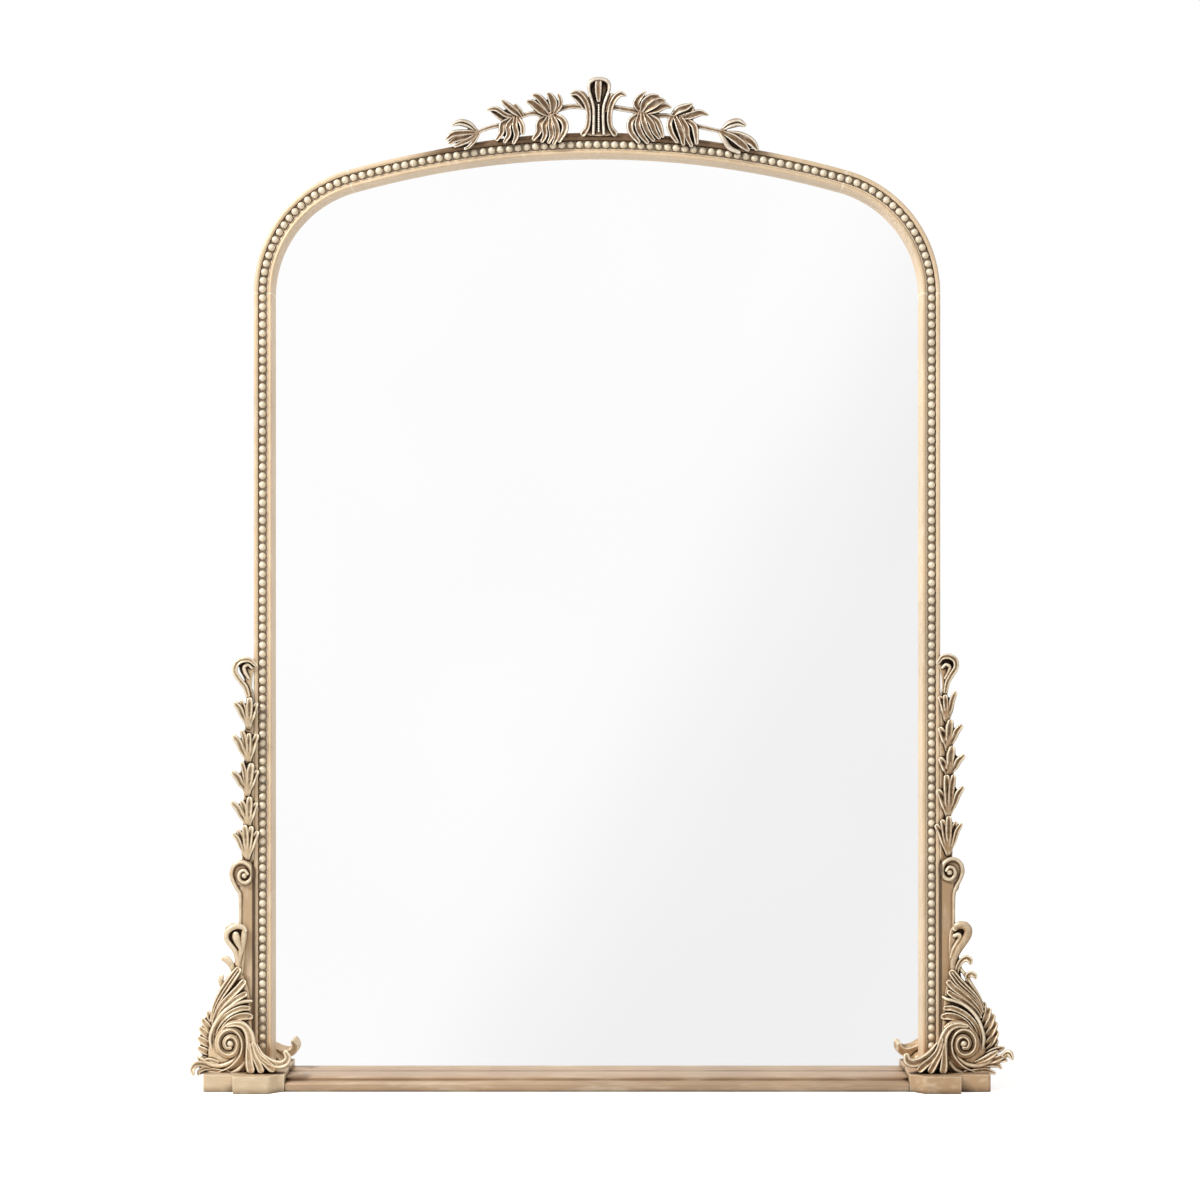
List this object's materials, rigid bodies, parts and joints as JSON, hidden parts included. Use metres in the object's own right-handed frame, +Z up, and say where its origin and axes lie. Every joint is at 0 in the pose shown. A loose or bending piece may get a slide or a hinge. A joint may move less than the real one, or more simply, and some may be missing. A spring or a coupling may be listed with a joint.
{
  "type": "arched mirror",
  "caption": "Overmantel mirror with an arched top, beaded gilt frame, leafy crest with a palmette, scroll brackets, husk drops and a moulded base; D-rings and turn buttons behind.",
  "frame": {"origin": "centre of the overall box at the underside of the pedestals", "axes": "+Z up, the glass faces -Y, the wall side is +Y, +X to the right seen from the front"},
  "size_m": [0.7414, 0.0624, 0.906],
  "materials": {
    "mirror": "silvered float glass",
    "board": "brown hardboard",
    "gilt_wood": "antique champagne gilding, worn on the edges, dark wash in the hollows",
    "beads": "pale gilded composition beads in a dark channel",
    "ornament": "gilded composition, rubbed pale on the ridges, dark in the hollows",
    "crest_leaf": "gilded composition, darker and greyer wash, pale on the ridges",
    "steel": "zinc plated",
    "bumper": "matt",
    "dowel": "bare beech"
  },
  "bodies": {
    "frame": {"mirror_glass": "mirror", "backing_board": "board", "left_stile": "gilt_wood", "right_stile": "gilt_wood", "base_rail": "gilt_wood", "left_arch_shoulder": "gilt_wood", "right_arch_shoulder": "gilt_wood", "arch_crown": "gilt_wood", "left_stile_beads": "beads", "right_stile_beads": "beads", "left_shoulder_beads": "beads", "right_shoulder_beads": "beads", "crown_beads": "beads", "left_pedestal": "gilt_wood", "right_pedestal": "gilt_wood", "left_pilaster": "gilt_wood", "right_pilaster": "gilt_wood", "left_scroll_bracket": "ornament", "right_scroll_bracket": "ornament", "left_foot_leaf": "ornament", "right_foot_leaf": "ornament", "left_husk_drop": "ornament", "right_husk_drop": "ornament", "left_drop_scroll": "ornament", "right_drop_scroll": "ornament", "crest_rail": "gilt_wood", "crest_palmette": "crest_leaf", "crest_left_spray": "crest_leaf", "crest_right_spray": "crest_leaf", "left_shoulder_plate": "steel", "right_shoulder_plate": "steel", "shoulder_plate_screws": "steel", "crown_seam_plates": "steel", "crown_seam_screws": "steel", "crest_pins": "steel", "pedestal_screws": "steel", "rail_dowels": "dowel", "bracket_dowels": "dowel", "turn_button_screws": "steel", "left_hanger_strap": "steel", "right_hanger_strap": "steel", "hanger_screws": "steel", "wall_bumpers": "bumper"},
    "turn_button_1": {"turn_button_1": "steel"},
    "turn_button_2": {"turn_button_2": "steel"},
    "turn_button_3": {"turn_button_3": "steel"},
    "turn_button_4": {"turn_button_4": "steel"},
    "turn_button_5": {"turn_button_5": "steel"},
    "turn_button_6": {"turn_button_6": "steel"},
    "turn_button_7": {"turn_button_7": "steel"},
    "turn_button_8": {"turn_button_8": "steel"},
    "left_d_ring": {"left_d_ring": "steel"},
    "right_d_ring": {"right_d_ring": "steel"}
  },
  "joints": [
    {"name": "turn_button_1_turn", "type": "hinge", "parent": "frame", "child": "turn_button_1", "pos_m": [0.3025, 0.02675, 0.1253], "axis": [0, 1, 0], "continuous": true},
    {"name": "turn_button_2_turn", "type": "hinge", "parent": "frame", "child": "turn_button_2", "pos_m": [0.3025, 0.02675, 0.3553], "axis": [0, 1, 0], "continuous": true},
    {"name": "turn_button_3_turn", "type": "hinge", "parent": "frame", "child": "turn_button_3", "pos_m": [0.3025, 0.02675, 0.64034], "axis": [0, 1, 0], "continuous": true},
    {"name": "turn_button_4_turn", "type": "hinge", "parent": "frame", "child": "turn_button_4", "pos_m": [-0.3025, 0.02675, 0.1253], "axis": [0, 1, 0], "continuous": true},
    {"name": "turn_button_5_turn", "type": "hinge", "parent": "frame", "child": "turn_button_5", "pos_m": [-0.3025, 0.02675, 0.3553], "axis": [0, 1, 0], "continuous": true},
    {"name": "turn_button_6_turn", "type": "hinge", "parent": "frame", "child": "turn_button_6", "pos_m": [-0.3025, 0.02675, 0.64034], "axis": [0, 1, 0], "continuous": true},
    {"name": "turn_button_7_turn", "type": "hinge", "parent": "frame", "child": "turn_button_7", "pos_m": [0.1708, 0.02675, 0.82855], "axis": [0, 1, 0], "continuous": true},
    {"name": "turn_button_8_turn", "type": "hinge", "parent": "frame", "child": "turn_button_8", "pos_m": [-0.1708, 0.02675, 0.82855], "axis": [0, 1, 0], "continuous": true},
    {"name": "left_d_ring_swing", "type": "hinge", "parent": "frame", "child": "left_d_ring", "pos_m": [-0.3025, 0.02885, 0.5753], "axis": [1, 0, 0], "range_deg": [0, 180]},
    {"name": "right_d_ring_swing", "type": "hinge", "parent": "frame", "child": "right_d_ring", "pos_m": [0.3025, 0.02885, 0.5753], "axis": [1, 0, 0], "range_deg": [0, 180]}
  ]
}
